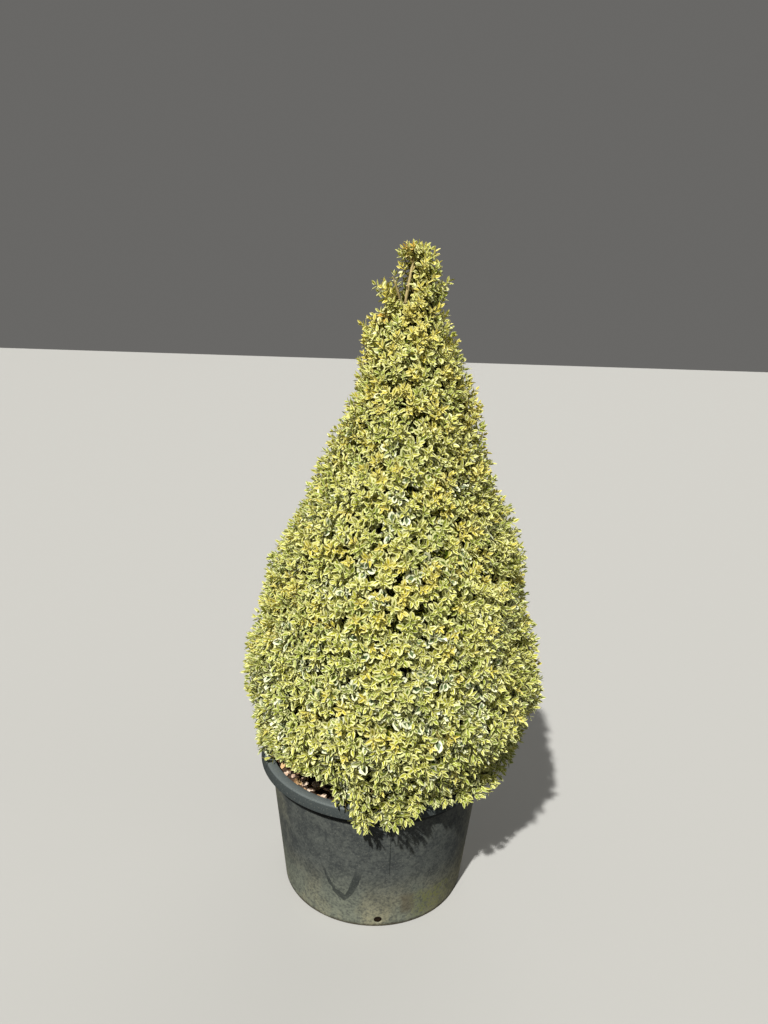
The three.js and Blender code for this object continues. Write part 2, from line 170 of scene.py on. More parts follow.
def feed(shader, relief=None, relief_depth=0.001, **values):
    """Links or sets a shader's sockets. A relief becomes a bump, relief_depth metres high at 1."""
    for name, value in values.items():
        socket = shader.inputs[name.replace("_", " ")]
        if isinstance(value, Wire):
            value.tree.links.new(value.socket, socket)
        else:
            socket.default_value = value
    if relief:
        bump = relief.via("ShaderNodeBump", {}, {0: 1.0, 1: relief_depth, 3: relief})
        relief.tree.links.new(bump.socket, shader.inputs["Normal"])


def rgb(red, green, blue):
    """A colour as it is seen on a screen, from 0 to 255, in the linear values that shaders take."""
    shares = [part / 255 for part in (red, green, blue)]
    return (*[s / 12.92 if s < 0.04 else ((s + 0.055) / 1.055) ** 2.4 for s in shares], 1.0)


def link(name, data):
    """A new object of that name in the scene, at the origin."""
    piece = bpy.data.objects.new(name, data)
    bpy.context.scene.collection.objects.link(piece)
    return piece


def outward_at(azimuth):
    """The level direction at an azimuth in radians."""
    return Vector((math.cos(azimuth), math.sin(azimuth), 0))


def revolve(name, profile, segments, move=None):
    """A closed mesh from a profile of (radius, height) points, turned about the upright axis.

    The profile starts and ends on the axis, and move shifts each corner.
    """
    mesh = bpy.data.meshes.new(name)
    turns = np.arange(segments) * 2 * math.pi / segments
    corners = [
        (radius * math.cos(turn), radius * math.sin(turn), height)
        for turn in turns
        for radius, height in profile
    ]
    if move:
        corners = [move(Vector(corner)) for corner in corners]
    count = len(profile)
    faces = []
    for i in range(segments):
        here, there = i * count, (i + 1) % segments * count
        faces += [(here + j, there + j, there + j + 1, here + j + 1) for j in range(count - 1)]
    mesh.from_pydata(corners, [], faces)
    tidy(mesh)
    return mesh


def tidy(mesh):
    """Merges a mesh's doubled points, drops faces with no area and turns all faces outwards."""
    shape = bmesh.new()
    shape.from_mesh(mesh)
    bmesh.ops.remove_doubles(shape, verts=shape.verts, dist=1e-6)
    bmesh.ops.dissolve_degenerate(shape, edges=shape.edges, dist=1e-7)
    bmesh.ops.recalc_face_normals(shape, faces=shape.faces)
    shape.to_mesh(mesh)
    shape.free()
    mesh.shade_smooth()


def settle(piece):
    """Applies the piece's modifiers to its mesh."""
    graph = bpy.context.evaluated_depsgraph_get()
    mesh = bpy.data.meshes.new_from_object(piece.evaluated_get(graph))
    piece.modifiers.clear()
    piece.data = mesh


def pot_profile():
    """The wall's section, from the middle of the underside out, up, over the rim and back in."""
    inside = NECK_RADIUS - WALL
    outer = [
        (BASE_RADIUS + (NECK_RADIUS - BASE_RADIUS) * i / WALL_ROWS, SHOULDER * i / WALL_ROWS)
        for i in range(WALL_ROWS + 1)
    ]
    rim = [
        (NECK_RADIUS, POT_HEIGHT - WALL - RIM_DISH),
        (RIM_RADIUS - RIM_SLOPE - WALL, POT_HEIGHT - WALL),
        (RIM_RADIUS - WALL, SHOULDER),
        (RIM_RADIUS, SHOULDER),
        (RIM_RADIUS - RIM_SLOPE * 0.55, POT_HEIGHT - RIM_DROP * 0.42),
        (RIM_RADIUS - RIM_SLOPE, POT_HEIGHT),
        (RIM_RADIUS - RIM_ROUND, POT_HEIGHT - 0.3 * RIM_DISH),
        (inside, POT_HEIGHT - RIM_DISH),
    ]
    return [(0, 0), *outer, *rim, (inside, SHOULDER), (BASE_RADIUS - WALL, WALL), (0, WALL)]


def prism_faces(first, sides):
    """The faces of a prism, whose two rings of corners start at number first."""
    lower = [first + i for i in range(sides)]
    upper = [first + sides + i for i in range(sides)]
    around = zip(lower, lower[1:] + lower[:1], upper[1:] + upper[:1], upper)
    return [*around, lower[::-1], upper]


def drill_mesh():
    """A cylinder across the wall at each drain hole."""
    corners, faces = [], []
    for azimuth in DRAIN_AZIMUTHS:
        out = outward_at(math.radians(azimuth))
        across = Vector((-out.y, out.x, 0))
        faces += prism_faces(len(corners), DRAIN_SIDES)
        for depth in (BASE_RADIUS - DRILL_REACH, BASE_RADIUS + DRILL_REACH):
            for i in range(DRAIN_SIDES):
                turn = 2 * math.pi * i / DRAIN_SIDES
                swing = across * math.cos(turn) + Vector((0, 0, math.sin(turn)))
                corners.append(out * depth + Vector((0, 0, DRAIN_HEIGHT)) + swing * DRAIN_RADIUS)
    mesh = bpy.data.meshes.new("drill")
    mesh.from_pydata(corners, [], faces)
    tidy(mesh)
    return mesh


pot = link("nursery_pot", revolve("nursery_pot", pot_profile(), POT_SEGMENTS))
drill = link("drill", drill_mesh())
cut = pot.modifiers.new("Drain holes", "BOOLEAN")
cut.object = drill
soften = pot.modifiers.new("Moulded edges", "BEVEL")
soften.width = EDGE_ROUNDING
soften.segments = 2
soften.limit_method = "ANGLE"
soften.angle_limit = math.radians(EDGE_ANGLE)
settle(pot)
bpy.data.objects.remove(drill)
pot.data.shade_smooth()

polythene, shader, place = start_material("weathered_polythene")
x, y, z = (place.axis(number) for number in range(3))
cloud = place.grain(9, 4, stretch=(1, 1, 0.55))
blotch = place.grain(34, 4)
mottle = place.grain(170, 4)
fine = place.grain(380, 2)
front = y.ramp(0.0, -0.05)
# The film: thick near the ground, thinner on both flanks, and broken up by the plastic's grain.
# On the flanks it is partly real film and partly painted sheen, where the wall turns edge-on.
flank_film_and_sheen = (abs(x) + (cloud - 0.5) * 0.12 + (blotch - 0.5) * 0.05).ramp(0.170, 0.220)
low = (z + (cloud - 0.5) * 0.10).ramp(0.150, 0.0)
film_and_flank_sheen = low * 0.85 + flank_film_and_sheen * 0.38 + (blotch - 0.5) * 0.6 * low
film_and_flank_sheen = film_and_flank_sheen * mottle.ramp(0.3, 0.65, 0.35, 1.15)
# The green patch and the brown smudge, low at the right of the front.
across = x + (blotch - 0.5) * 0.06
green = across.ramp(GREEN_LEFT - 0.015, GREEN_LEFT + 0.015)
green = green * across.ramp(GREEN_RIGHT + 0.015, GREEN_RIGHT - 0.015)
green = green * (z + (blotch - 0.5) * 0.05).ramp(GREEN_TOP + 0.013, GREEN_TOP - 0.012)
green = green * (z + (mottle - 0.5) * 0.02).ramp(0.0, 0.02)
smudge = abs(x - SMUDGE_X + (blotch - 0.5) * 0.02).ramp(0.018, 0.009)
smudge = smudge * z.ramp(0.085, 0.065) * z.ramp(0.02, 0.035)
# The streak: a V with a long flat arm at the left and a short steep one at the right.
left = (STREAK_X - x).positive()
right = (x - STREAK_X).positive()
arm = left * 0.25 + left * left * 25 + right * 1.7 + right * right * 45 + STREAK_LOW
wobble = (place.grain(60, 4) - 0.5) * 0.032
streak = (abs(z - arm + wobble) - right * 0.85 + left * 0.08).ramp(0.0105, 0.0070)
streak = streak * z.ramp(0.150, 0.115) * front * mottle.ramp(0.38, 0.55, 0.55, 1.0)
# The mould's seam; painted shade on the rim's outer face and painted light on its top; painted
# shade on the wall under the rim and inside it above the soil; and soil at the foot.
seam = abs(x - SEAM_X + (cloud - 0.5) * 0.001).ramp(0.0014, 0.0004) * front * z.ramp(0.12, 0.15)
painted_shade_on_rim_face = (x * x + y * y).ramp((RIM_RADIUS - 0.0075) ** 2, (RIM_RADIUS - 0.0045) ** 2)
painted_shade_on_rim_face = painted_shade_on_rim_face * z.ramp(SHOULDER - 0.002, SHOULDER)
painted_light_on_rim_top = z.ramp(POT_HEIGHT - 0.004, POT_HEIGHT - 0.0025)
under = z.ramp(SHOULDER - 0.026, SHOULDER - 0.022)
grime = (z + (blotch - 0.5) * 0.012).ramp(0.008, 0.001)
tone = (blotch * 0.5 + mottle * 0.5).ramp(0.38, 0.62).paint(rgb(67, 71, 71), rgb(95, 99, 95))
# The film's colour, which is partly painted sheen on the flanks.
tone = film_and_flank_sheen.paint(tone, cloud.ramp(0.4, 0.6).paint(rgb(133, 138, 122), rgb(163, 160, 132)))
tone = (smudge * front * 0.6).paint(tone, rgb(98, 90, 72))
tone = (green * front * mottle.ramp(0.4, 0.6, 0.1, 0.7)).paint(tone, rgb(120, 124, 66))
tone = (streak * 0.8).paint(tone, rgb(44, 49, 50))
tone = (seam * 0.6).paint(tone, rgb(38, 42, 42))
# Painted shade under and inside the rim and on the rim's outer face, and painted light on its top.
tone = (under * 0.75).paint(tone, rgb(18, 20, 20))
tone = painted_shade_on_rim_face.paint(tone, rgb(66, 72, 72))
tone = painted_light_on_rim_top.paint(tone, rgb(100, 107, 107))
tone = (fine.ramp(0.60, 0.70) * 0.38).paint(tone, rgb(146, 146, 134))
tone = (fine.ramp(0.40, 0.32) * 0.35).paint(tone, rgb(30, 33, 32))
tone = (grime * 0.7).paint(tone, rgb(74, 62, 44))
feed(
    shader,
    relief=fine * 0.4 + blotch - seam * 0.8,
    relief_depth=0.0006,
    Base_Color=tone,
    Roughness=film_and_flank_sheen * 0.2 + blotch * 0.16 + 0.5,
    Specular_IOR_Level=0.15,
)
pot.data.materials.clear()
pot.data.materials.append(polythene)
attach(pot, "root")
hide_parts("pot")


# The root ball. Peat and bark mix, filled to a line below the rim and matted with roots, its top
# crumbled and uneven. A mulch of old bark chips and last year's fallen leaves lies on it.
SOIL_LEVEL = 0.280
SOIL_GAP = 0.0006  # between the root ball and the wall
SOIL_FLOOR = WALL + 0.0003
SOIL_NECK = NECK_RADIUS - WALL - SOIL_GAP
SOIL_BASE = BASE_RADIUS - WALL - SOIL_GAP
SOIL_RINGS = 44
SOIL_SEGMENTS = 132
CRUMBS = 0.0035  # how far the top rises and falls
FOOT_X, FOOT_Y = 0.014, 0.004  # where the trunk stands
FLAT_RADIUS = 0.05  # the nearly level patch round the trunk's foot
FLAT_EDGE = 0.03  # how wide the patch's edge is
BED_RINGS = [0.06, 0.12, 0.17, 0.2135]  # the radii of the bed that litter lies on
BED_SIDES = 48
BED_LIFT = 0.003
CHIP_SIDES = 6
CHIP_THICKNESS = 0.0025
LITTER_SHAPES = 12  # different chips, and different leaves
LITTER_SMALL, LITTER_LARGE = 0.6, 1.25
# Each sort of litter: pieces to a square metre, seed, and tip in radians.
LITTER = [("bark_chip_mulch", 3000, 3, 0.6), ("fallen_leaves", 2600, 8, 0.7)]


def crumbled(point):
    """A point of the soil, lifted or dropped by the crumbs if it is on the top."""
    if point.z < SOIL_LEVEL - 1e-6 or math.hypot(point.x, point.y) > SOIL_NECK - 0.002:
        return point
    from_foot = math.hypot(point.x - FOOT_X, point.y - FOOT_Y)
    near = min(max((from_foot - FLAT_RADIUS) / FLAT_EDGE, 0.15), 1)
    rough = noise.fractal(point * 30, 1.0, 2.0, 4) * 0.9 + noise.noise(point * 11) * 0.8
    return point + Vector((0, 0, CRUMBS * near * rough))


top = [(SOIL_NECK * (1 - i / SOIL_RINGS), SOIL_LEVEL) for i in range(SOIL_RINGS + 1)]
profile = [(0, SOIL_FLOOR), (SOIL_BASE, SOIL_FLOOR), (SOIL_NECK, SHOULDER - 0.004), *top]
soil = link("potting_mix", revolve("potting_mix", profile, SOIL_SEGMENTS, crumbled))
mix, shader, place = start_material("peat_and_bark_mix")
z = place.axis(2)
clods = place.grain(60, 5)
bits = place.grain(240, 3)
tone = clods.ramp(0.35, 0.7).paint(rgb(50, 38, 30), rgb(96, 72, 54))
tone = (bits.ramp(0.6, 0.72) * 0.6).paint(tone, rgb(128, 100, 76))
tone = (z.ramp(0.020, 0.014) * 0.8).paint(tone, rgb(112, 86, 64))
feed(shader, relief=clods + bits * 0.5, relief_depth=0.004, Base_Color=tone, Roughness=0.95)
soil.data.materials.append(mix)
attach(soil, "root")
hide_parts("soil")


def grow(name, tree, mesh, **values):
    """The plain object that a geometry tree makes of a mesh, with the tree's named inputs set."""
    piece = link(name, mesh)
    modifier = piece.modifiers.new("Growth", "NODES")
    modifier.node_group = tree
    for socket in tree.interface.items_tree:
        if socket.in_out == "INPUT" and socket.name in values:
            modifier[socket.identifier] = values[socket.name]
    settle(piece)
    return piece


class Sap:
    """A geometry tree with named inputs, to which node() adds nodes."""

    def __init__(self, name, **inputs):
        self.tree = bpy.data.node_groups.new(name, "GeometryNodeTree")
        ports = self.tree.interface
        ports.new_socket("Geometry", in_out="INPUT", socket_type="NodeSocketGeometry")
        for label, kind in inputs.items():
            ports.new_socket(label, in_out="INPUT", socket_type="NodeSocket" + kind)
        ports.new_socket("Geometry", in_out="OUTPUT", socket_type="NodeSocketGeometry")
        self.given = self.tree.nodes.new("NodeGroupInput").outputs

    def node(self, kind, settings, values, output=0):
        return add_node(self.tree, kind, settings, values, output)

    def read(self, attribute, kind="FLOAT"):
        """The values of a named attribute."""
        settings = {"data_type": kind}
        return self.node("GeometryNodeInputNamedAttribute", settings, {"Name": attribute})

    def copies(self, points, shelf, **values):
        """A copy of an object of a collection on each point, as real geometry."""
        choice = {"Collection": shelf, "Separate Children": True, "Reset Children": True}
        shelved = self.node("GeometryNodeCollectionInfo", {}, choice)
        values |= {"Points": points, "Instance": shelved, "Pick Instance": True}
        placed = self.node("GeometryNodeInstanceOnPoints", {}, values)
        return self.node("GeometryNodeRealizeInstances", {}, {"Geometry": placed})

    def done(self, geometry):
        """The tree, with that geometry as its result."""
        self.tree.links.new(geometry, self.tree.nodes.new("NodeGroupOutput").inputs[0])
        return self.tree


def litter_tree():
    """Scatters the pieces of a collection flat on a surface, turned and tipped at random."""
    inputs = {"Litter": "Collection", "Density": "Float", "Seed": "Int", "Tip": "Float"}
    sap = Sap("Scattered litter", **inputs, Finish="Material")
    given = sap.given
    settings = {"distribute_method": "RANDOM"}
    values = {"Mesh": given["Geometry"], "Density": given["Density"], "Seed": given["Seed"]}
    points = sap.node("GeometryNodeDistributePointsOnFaces", settings, values)
    tipped = sap.node("ShaderNodeMath", {"operation": "MULTIPLY"}, {0: given["Tip"], 1: -1.0})
    low = sap.node("ShaderNodeCombineXYZ", {}, {0: tipped, 1: tipped, 2: 0.0})
    high = sap.node("ShaderNodeCombineXYZ", {}, {0: given["Tip"], 1: given["Tip"], 2: 2 * math.pi})
    values = {0: low, 1: high, "Seed": 1}
    turn = sap.node("FunctionNodeRandomValue", {"data_type": "FLOAT_VECTOR"}, values)
    values = {2: LITTER_SMALL, 3: LITTER_LARGE, "Seed": 2}
    size = sap.node("FunctionNodeRandomValue", {"data_type": "FLOAT"}, values, output=1)
    strewn = sap.copies(points, given["Litter"], Rotation=turn, Scale=size)
    values = {"Geometry": strewn, "Material": given["Finish"]}
    return sap.done(sap.node("GeometryNodeSetMaterial", {}, values))


def seeded(seed):
    """The repeatable numbers between 0 and 1 that the solids grow by too."""
    state = seed
    while True:
        state = state * 16807 % 2147483647
        yield state / 2147483647


def chip(draw):
    """An old bark chip: a flat flake with six uneven sides."""
    length, width = 0.010 + 0.014 * next(draw), 0.007 + 0.008 * next(draw)
    turns = [2 * math.pi * (i + 0.5 * next(draw)) / CHIP_SIDES for i in range(CHIP_SIDES)]
    rim = [(math.cos(turn) * length / 2, math.sin(turn) * width / 2) for turn in turns]
    lower = [(u, v, -0.001) for u, v in rim]
    upper = [(u * 0.86, v * 0.86, CHIP_THICKNESS * (0.5 + next(draw))) for u, v in rim]
    mesh = bpy.data.meshes.new("chip")
    mesh.from_pydata(lower + upper, [], prism_faces(0, CHIP_SIDES))
    return mesh


def fallen_leaf(draw):
    """A dry fallen leaf, its sides curled up from its middle."""
    length, curl = 0.015 + 0.006 * next(draw), 0.3 + 0.5 * next(draw)
    width = length * 0.52
    rows = [(0, 0.0), (0.30, 0.22), (0.5, 0.55), (0.34, 0.86), (0, 1.0)]
    corners = [(0, (v - 0.5) * length, 0.001 + 0.002 * v * v) for u, v in rows]
    for sign in (1, -1):
        for u, v in rows[1:-1]:
            height = 0.001 + curl * u * width + 0.002 * v * v
            corners.append((sign * u * width, (v - 0.5) * length, height))
    mesh = bpy.data.meshes.new("fallen_leaf")
    right = [(0, 5, 1), (1, 5, 6, 2), (2, 6, 7, 3), (3, 7, 4)]
    left = [(0, 1, 8), (1, 2, 9, 8), (2, 3, 10, 9), (3, 4, 10)]
    mesh.from_pydata(corners, [], right + left)
    return mesh


def kept_aside(name, meshes):
    """A collection outside the scene, holding one object for each mesh, for a tree to copy."""
    shelf = bpy.data.collections.new(name)
    for i, mesh in enumerate(meshes):
        shelf.objects.link(bpy.data.objects.new(f"{name}_{i:02d}", mesh))
    return shelf


def clear(shelf):
    """Removes a collection and what it holds."""
    for thing in list(shelf.objects):
        bpy.data.objects.remove(thing)
    bpy.data.collections.remove(shelf)


bark_chips, shader, place = start_material("old_bark_chips")
patch = place.grain(75, 2)
fibre = place.grain(420, 3)
tone = patch.ramp(0.36, 0.64).paint(rgb(214, 178, 152), rgb(250, 230, 208))
tone = (fibre.ramp(0.4, 0.7) * 0.5).paint(tone, rgb(232, 202, 172))
feed(shader, relief=fibre, relief_depth=0.001, Base_Color=tone, Roughness=0.85)
dry_leaf, shader, place = start_material("dry_fallen_leaves")
tone = place.grain(60, 2).ramp(0.35, 0.65).paint(rgb(150, 112, 74), rgb(214, 180, 132))
feed(shader, relief=place.grain(500, 2), relief_depth=0.0005, Base_Color=tone, Roughness=0.7)

corners = []
for radius in BED_RINGS:
    for i in range(BED_SIDES):
        turn = 2 * math.pi * i / BED_SIDES
        corners.append((radius * math.cos(turn), radius * math.sin(turn), SOIL_LEVEL + BED_LIFT))
faces = []
for i in range(len(corners) - BED_SIDES):
    following = i + 1 if (i + 1) % BED_SIDES else i + 1 - BED_SIDES
    faces.append((i + BED_SIDES, following + BED_SIDES, following, i))
bed = bpy.data.meshes.new("bed")
bed.from_pydata(corners, [], faces)
litter = litter_tree()
draw = seeded(11)
for row, make, material in zip(LITTER, (chip, fallen_leaf), (bark_chips, dry_leaf)):
    name, density, seed, tip = row
    shelf = kept_aside(name, [make(draw) for _ in range(LITTER_SHAPES)])
    values = {"Litter": shelf, "Density": density, "Seed": seed, "Tip": tip, "Finish": material}
    piece = grow(name, litter, bed, **values)
    clear(shelf)
    piece.data.shade_flat()
    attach(piece, "root")


# The trunk. One box stem, from its flat cut at the soil to the bare, pruned tip of the leader,
# lightly furrowed and pale tan, with a flare at its foot and stubs where shoots were cut off.
TRUNK_FOOT = Vector((FOOT_X, FOOT_Y, 0.2803))
TRUNK_BEND = Vector((0.026, -0.010, 1.196))
TRUNK_TIP = Vector((0.038, -0.012, 1.272))
TRUNK_RADIUS = 0.015
LEADER_RADIUS = 0.0021
TRUNK_ROWS = 300
TRUNK_SEGMENTS = 28
FLARE_REACH = 0.015
FLARE_HEIGHT = 0.026
FLARE_ROOTS = 5
# Each pruned stub's height, azimuth in degrees and length.
STUBS = [(1.262, 200, 0.015), (1.248, 20, 0.012), (1.216, 250, 0.010)]
STUB_RISE = 1.3  # for each metre outwards
STUB_RADIUS, STUB_TAPER = 0.0022, 0.0005
STUB_SIDES = 8
UP = Vector((0, 0, 1))


def trunk_middle(height):
    """The middle of the trunk at a height, also a little above its tip."""
    foot, top = (TRUNK_FOOT, TRUNK_BEND) if height < TRUNK_BEND.z else (TRUNK_BEND, TRUNK_TIP)
    return foot.lerp(top, (height - foot.z) / (top.z - foot.z))


def trunk_radius(height):
    """The trunk's radius at a height, without its flare."""
    share = (height - TRUNK_FOOT.z) / (TRUNK_TIP.z - TRUNK_FOOT.z)
    return TRUNK_RADIUS + (LEADER_RADIUS - TRUNK_RADIUS) * min(share, 1)


def barked(point):
    """Bends a unit column, at its own heights, into the trunk with its flare and furrows."""
    turn = math.atan2(point.y, point.x)
    out = outward_at(turn)
    flare = FLARE_REACH * math.exp((TRUNK_FOOT.z - point.z) / FLARE_HEIGHT)
    radius = trunk_radius(point.z) + flare * (1 + 0.35 * math.cos(FLARE_ROOTS * turn))
    furrow = noise.noise(Vector((out.x * 3.2, out.y * 3.2, point.z * 14)))
    ripple = noise.noise(Vector((out.x * 7, out.y * 7, point.z * 60 + 9)))
    radius *= 1 + 0.07 * furrow + 0.035 * ripple
    return trunk_middle(point.z) + out * radius * math.hypot(point.x, point.y)


def limb_tree():
    """Thickens the lines of a mesh into closed, tapering limbs with bark on."""
    sap = Sap("Tapering limbs", Sides="Int", Bark="Material")
    given = sap.given
    line = sap.node("GeometryNodeMeshToCurve", {}, {"Mesh": given["Geometry"]})
    thick = sap.read("thickness")
    values = {"Resolution": given["Sides"], "Radius": 1.0}
    ring = sap.node("GeometryNodeCurvePrimitiveCircle", {}, values)
    values = {"Curve": line, "Profile Curve": ring, "Scale": thick, "Fill Caps": True}
    tube = sap.node("GeometryNodeCurveToMesh", {}, values)
    values = {"Geometry": tube, "Material": given["Bark"]}
    return sap.done(sap.node("GeometryNodeSetMaterial", {}, values))


def lines_mesh(lines):
    """A mesh of open lines, each a list of (point, radius), for the limb tree to thicken."""
    corners, edges, radii = [], [], []
    for line in lines:
        edges += [(len(corners) + i, len(corners) + i + 1) for i in range(len(line) - 1)]
        corners += [point for point, radius in line]
        radii += [radius for point, radius in line]
    mesh = bpy.data.meshes.new("lines")
    mesh.from_pydata(corners, edges, [])
    mesh.attributes.new("thickness", "FLOAT", "POINT").data.foreach_set("value", radii)
    return mesh


trunk_height = TRUNK_TIP.z - TRUNK_FOOT.z
heights = [TRUNK_FOOT.z + trunk_height * i / TRUNK_ROWS for i in range(TRUNK_ROWS + 1)]
profile = [(0, heights[0]), *[(1, height) for height in heights], (0, heights[-1])]
trunk = link("trunk_bark", revolve("trunk_bark", profile, TRUNK_SEGMENTS, barked))
bark, shader, place = start_material("box_bark")
z = place.axis(2)
furrows = place.grain(190, 4, stretch=(1, 1, 0.12))
flakes = place.grain(60, 3)
tone = furrows.ramp(0.3, 0.7).paint(rgb(112, 92, 66), rgb(176, 150, 112))
# Paler at the leader's top: partly young bark, partly painted light where the tip sprays shade it.
tone = (z.ramp(1.16, 1.22) * 0.85).paint(tone, rgb(208, 190, 134))
tone = ((1 - z.ramp(1.1, 1.2)) * flakes.ramp(0.55, 0.7) * 0.5).paint(tone, rgb(140, 136, 112))
feed(shader, relief=furrows + flakes * 0.5, relief_depth=0.0016, Base_Color=tone, Roughness=0.8)
stubs = []
for height, azimuth, length in STUBS:
    root = trunk_middle(height)
    run = (outward_at(math.radians(azimuth)) + UP * STUB_RISE).normalized() * length
    stubs.append([(root + run * s, STUB_RADIUS - STUB_TAPER * s) for s in (0, 0.4, 0.75, 1)])
limbs = limb_tree()
stub_piece = grow("pruned_stubs", limbs, lines_mesh(stubs), Sides=STUB_SIDES, Bark=bark)
trunk.data.materials.append(bark)
for piece in (trunk, stub_piece):
    piece.data.shade_smooth()
    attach(piece, "root")
    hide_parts("trunk")


# The boughs and twigs. Boughs rise from the trunk and fork towards the clipped surface in one
# golden-angle spiral, as the solids' twigs do; finer shoots leave them by the same rule.
CROWN_REACH = [  # height, and how far the clipped surface is from the crown's axis there
    (0.262, 0.250), (0.300, 0.262), (0.380, 0.285), (0.460, 0.303), (0.540, 0.287), (0.700, 0.253),
    (0.780, 0.224), (0.860, 0.181), (1.000, 0.134), (1.120, 0.098), (1.155, 0.090), (1.188, 0.068),
    (1.225, 0.064), (1.252, 0.046), (1.285, 0.042), (1.306, 0.016),
]
CROWN_TOP = 1.306
CROWN_SHIFT = 0.022  # how far the crown's axis is to the right at the rim
CROWN_LEAN = 0.023  # and how much further for each metre up
LUMPS = 0.006  # how far the surface's small waves stand out
LOBES = [  # azimuth and width in degrees, height, depth and reach of larger swellings and hollows
    (185, 40, 1.232, 0.017, 0.034), (180, 40, 1.158, 0.026, 0.012), (0, 25, 1.006, 0.034, 0.014),
    (-100, 38, 0.285, 0.040, 0.026), (185, 55, 1.035, 0.055, -0.019), (5, 45, 1.155, 0.045, -0.022),
    (185, 50, 0.935, 0.050, -0.013), (185, 45, 1.188, 0.013, -0.012), (5, 25, 0.909, 0.022, 0.014),
    (0, 40, 1.247, 0.018, 0.010), (-162, 11, 0.290, 0.022, 0.010), (-62, 30, 0.340, 0.045, -0.020),
]
HEM = [  # azimuth in degrees, and height of the lowest leaves
    (-180, 0.325), (-170, 0.325), (-166, 0.288), (-158, 0.290), (-154, 0.380), (-148, 0.396),
    (-130, 0.396), (-115, 0.384), (-112, 0.272), (-103, 0.274), (-97, 0.287), (-90, 0.298),
    (-80, 0.306), (-72, 0.326), (-64, 0.318), (-55, 0.306), (-46, 0.306), (-38, 0.300),
    (20, 0.320), (75, 0.306), (140, 0.320), (180, 0.325),
]
# Height, and how much a bough or a spray rises there for each metre outwards.
TWIG_RISE = [(0.262, -1.1), (0.330, -0.5), (0.460, 0.2), (0.800, 0.5), (1.220, 0.6), (1.306, 2.5)]
SPRAY_RISE = [
    (0.262, -1.0), (0.300, -0.6), (0.345, -0.3), (0.460, 0.2), (0.800, 0.5), (1.180, 0.7),
    (1.225, 0.8), (1.306, 1.8),
]
TWIG_START = 0.270
TWIG_AREA = 0.0069  # crown area to a bough
TWIG_LENGTH = 0.078
TWIG_BARE = 0.45  # the share of that length by which a bough stops short of the surface
FULL_REACH = 0.190  # boughs stand closer where the crown is narrower than this
ANY_REACH = 1e-6  # sprays and tufts stand as close everywhere
GOLDEN_TURN = math.pi * (3 - math.sqrt(5))
TURN_CHANCE, LEVEL_CHANCE = 0.3, 0.014  # how far chance moves a shoot's place,
RISE_CHANCE, SWAY_CHANCE = 0.5, 0.5  # its direction,
SIZE_LEAST, SIZE_CHANCE = 0.88, 0.24  # and its size
BOUGH_STEPS = 6
BOUGH_FALL = 0.8  # how much lower a bough's foot lies for each metre outwards
BOUGH_FOOT_LOW, BOUGH_FOOT_HIGH = SOIL_LEVEL + 0.03, 1.17
BOUGH_ARCH, LOW_ARCH, LOW_LEVEL = 0.12, 0.3, 0.36  # low boughs arch more
BOUGH_RADIUS, BOUGH_SWELL = 0.0018, 0.014  # at the foot, and how much more for each metre out
BOUGH_SIDES, TWIG_SIDES = 6, 3
BOUGH_TOP = 1.196  # above this, twigs stand on the leader and its two shoots
SHOOTS = [  # the foot and top of each shoot beside the leader
    (Vector((0.036, -0.002, 1.177)), Vector((0.053, 0.000, 1.250))),
    (Vector((0.020, 0.008, 1.186)), Vector((0.002, -0.012, 1.238))),
]
PIT_START = Vector((0.018, -0.130, 1.016))  # a dark gap among the leaves, high on the front
PIT_END = Vector((0.054, -0.128, 0.982))
PIT_RADIUS = 0.012
POT_CLEARANCE, RIM_CLEARANCE = 0.006, 0.004  # between foliage and the pot, above and beside it
GAP_LOW, GAP_HIGH = 1.200, 1.270  # the bare stretch of the leader
GAP_HALF_WIDTH, GAP_BACK = 0.0105, 0.003
SPARSE_LOW, SPARSE_HIGH, SPARSE_SIDE = 1.238, 1.274, 0.005  # the open place to the left of it
SPARSE_SKIPPED = 0.72  # the share of sprays left out there
LEADER_SKIPPED = 0.06  # and on the leader as a whole
MASSES = [  # each mass of the crown, and its top
    ("crown_skirt", 0.560), ("crown_middle", 0.820), ("crown_upper", 1.060),
    ("crown_top", BOUGH_TOP), ("leader_sprays", CROWN_TOP + 0.01),
]
# Two layers: crown area to a spray, and how deep in the crown its tip lies at least and at most.
LAYERS = [(0.00030, 0.000, 0.012), (0.00037, 0.022, 0.050)]
SPRAY_LENGTH = 0.045
SPRAY_TWIG_RADII = (0.0010, 0.0008, 0.0004)
TUFT_AREA = 0.0011  # each tuft of sprays grows from one side twig
TUFT_REACH = 0.018
TUFT_LENGTH = 0.055
TUFT_SPREAD = 0.85  # sprays are drawn in towards their tuft's middle
TUFT_SLOPE = 0.008  # how much deeper a tuft's outermost sprays lie
TUFT_RADII = (0.0015, 0.0014, 0.0012, 0.0010)
LOOK_BACK = 0.02  # a twig grows from the knot nearest to this far behind its foot
BRONZED = Vector((-0.028, -0.043, 1.176))  # a bunch of orange leaves
BRONZED_RADIUS = 0.013
BRONZED_SHARE = 0.001  # the share of other sprays that are orange too
SAGE_FROM, LIME_FROM, CREAM_FROM = 0.84, 0.62, 0.12  # how grey each kind is at least
SAGE_TOP = 1.19
GREY_LEVEL, GREY_FALL = 0.72, 0.5  # above this height, sprays are yellower, and below it, greyer
PATCH_SCALE, PATCH_STRENGTH = 20, 0.4  # patches of like kinds
TIP_SPRAYS = 20  # sprays radiating from the leader's tip
TIP_SCALE = 0.64
TIP_TWIG = 0.025
TIP_FRONT = -0.35  # tip sprays that head further to the front than this are bronze at the left,
TIP_OPEN = 0.6  # and left out where they rise less than this
SIZE_LOW, SIZE_FALL = 1.12, 0.26  # sprays are smaller higher up the crown


def value_at(levels, place):
    """The value at a place on a table of (place, value) rows."""
    places, values = zip(*levels)
    return float(np.interp(place, places, values))


def crown_axis(height):
    """How far to the right the crown's axis is at a height."""
    return CROWN_SHIFT + CROWN_LEAN * (height - POT_HEIGHT)


